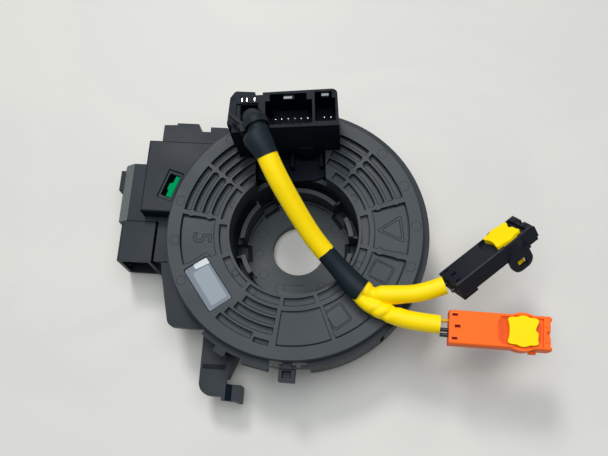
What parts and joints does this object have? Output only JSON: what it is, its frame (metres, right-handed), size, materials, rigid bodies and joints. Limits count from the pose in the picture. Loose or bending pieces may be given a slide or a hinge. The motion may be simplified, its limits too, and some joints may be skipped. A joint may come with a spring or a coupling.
{
  "type": "steering clock spring",
  "caption": "Steering clock spring: slotted turning disc with a tall connector block and two yellow-sleeved leads, in a case with side connectors and a bracket.",
  "frame": {"origin": "centre of the steering-shaft bore, level with the back face", "axes": "+Z along the shaft, from the back face towards the steering wheel; +Y towards the connector block; +X towards the plugs"},
  "size_m": [0.1722, 0.1167, 0.0658],
  "materials": {
    "disc_plastic": "satin grey",
    "hub_plastic": "satin grey",
    "case_plastic": "satin dark grey",
    "cover_plastic": "satin dark grey",
    "block_plastic": "satin near-black",
    "green_plastic": "bright green",
    "clear_window": "clear",
    "pale_film": "pale",
    "pin_metal": "tinned",
    "cable_film": "translucent film with copper",
    "boot_rubber": "matt",
    "tie_nylon": "satin black",
    "yellow_sleeve": "soft satin",
    "black_plastic": "satin black",
    "orange_plastic": "satin orange",
    "lock_yellow": "yellow",
    "wire_black": "insulation",
    "wire_yellow": "insulation"
  },
  "bodies": {
    "case": {"stator_case": "case_plastic", "back_cover": "case_plastic", "retaining_ring": "case_plastic", "side_cover": "cover_plastic", "green_retainer": "green_plastic", "left_housing": "cover_plastic", "vehicle_connector_shell": "cover_plastic", "vehicle_connector_pins": "pin_metal", "fixed_lead_block": "block_plastic", "flat_cable": "cable_film"},
    "disc": {"rotor_face": "disc_plastic", "hub_sleeve": "hub_plastic", "window_lens": "clear_window", "window_backing": "pale_film", "wheel_connector_block": "block_plastic", "main_connector_pins": "pin_metal", "pair_connector_pins": "pin_metal", "lead_gland": "block_plastic", "turning_lead_block": "block_plastic", "lead_boot": "boot_rubber", "cable_tie": "tie_nylon", "main_lead_sleeve": "yellow_sleeve", "split_tape": "boot_rubber", "upper_branch_sleeve": "yellow_sleeve", "lower_branch_sleeve": "yellow_sleeve", "black_plug_housing": "black_plastic", "black_plug_contacts": "pin_metal", "black_plug_wires": "wire_black", "orange_plug_housing": "orange_plastic", "orange_plug_contacts": "pin_metal", "orange_plug_yellow_wire": "wire_yellow", "orange_plug_dark_wires": "wire_black"},
    "black_lock": {"black_plug_lock": "lock_yellow"},
    "orange_lock": {"orange_plug_lock": "lock_yellow"}
  },
  "joints": [
    {"name": "disc_turn", "type": "hinge", "parent": "case", "child": "disc", "pos_m": [0, 0, 0], "axis": [0, 0, 1], "range_deg": [-900, 900]},
    {"name": "black_lock_slide", "type": "slide", "parent": "disc", "child": "black_lock", "axis": [-0.4763, 0.5309, 0.7009], "range_m": [0, 0.003]},
    {"name": "orange_lock_slide", "type": "slide", "parent": "disc", "child": "orange_lock", "axis": [0, 0, 1], "range_m": [0, 0.003]}
  ]
}
